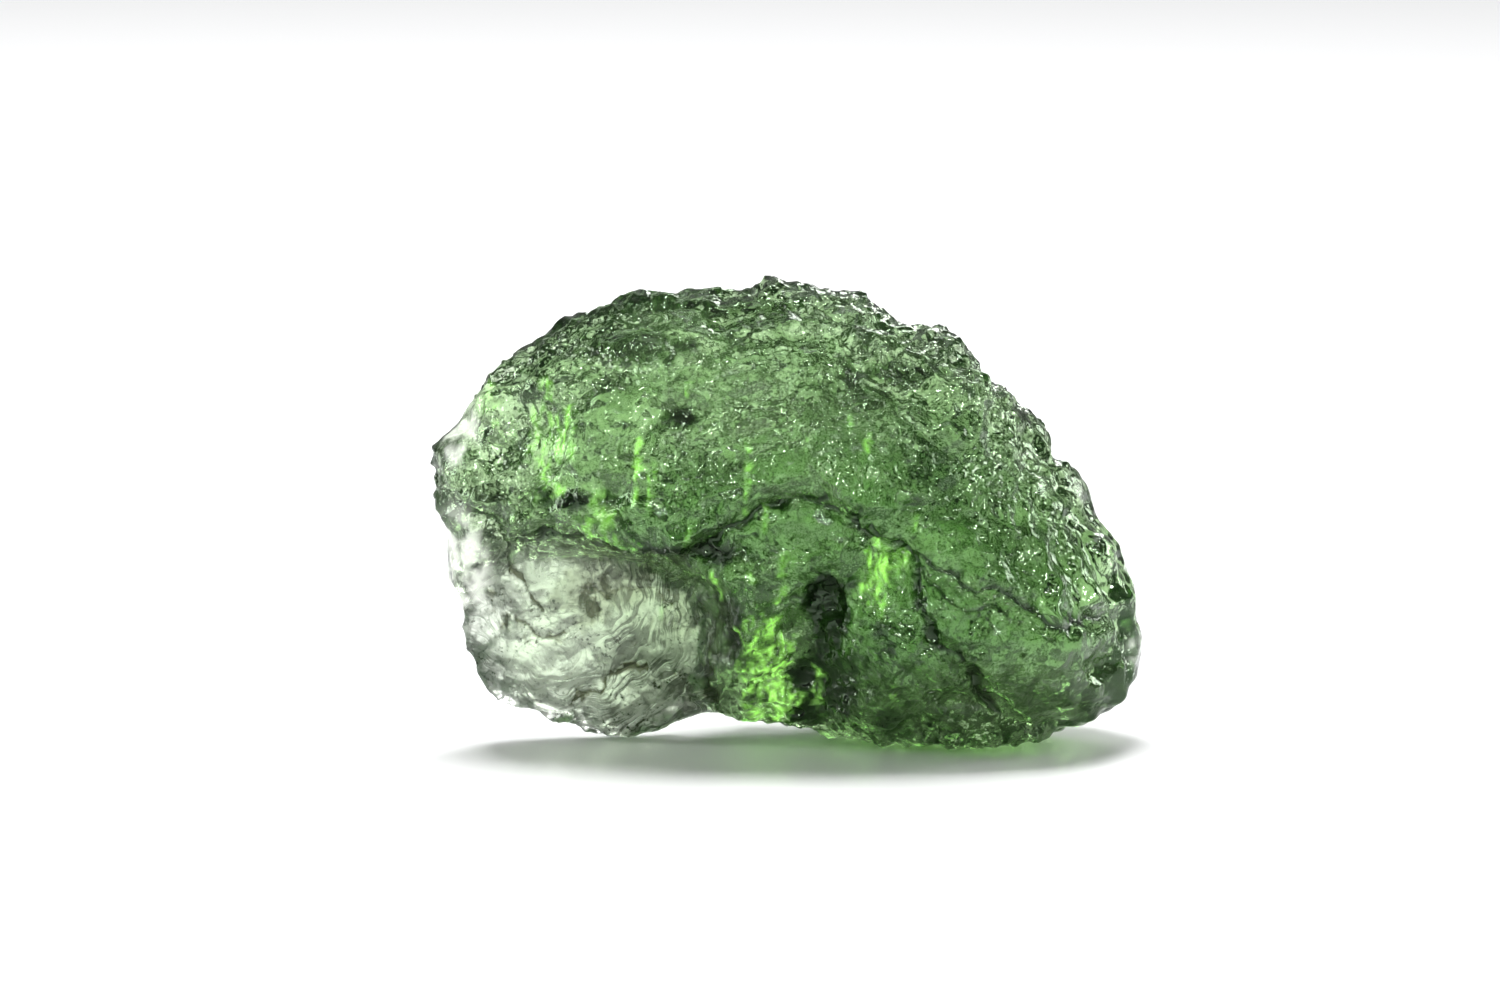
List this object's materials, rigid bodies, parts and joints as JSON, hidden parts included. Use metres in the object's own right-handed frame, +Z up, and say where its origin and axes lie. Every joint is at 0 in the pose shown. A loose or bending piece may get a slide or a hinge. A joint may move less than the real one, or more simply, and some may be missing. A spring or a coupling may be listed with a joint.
{
  "type": "moldavite",
  "caption": "Rough green moldavite, a natural glass stone with an etched, pitted surface, standing on two flat spots of its lower edge.",
  "frame": {"origin": "on the table, under the middle of the stone's box", "axes": "+X along the stone's length, -Y out of the broad face that shows, +Z up"},
  "size_m": [0.018, 0.0086, 0.0118],
  "materials": {
    "moldavite_glass": "etched natural glass, satin and lightly pitted, see-through green"
  },
  "bodies": {
    "root": {"moldavite": "moldavite_glass"}
  },
  "joints": []
}
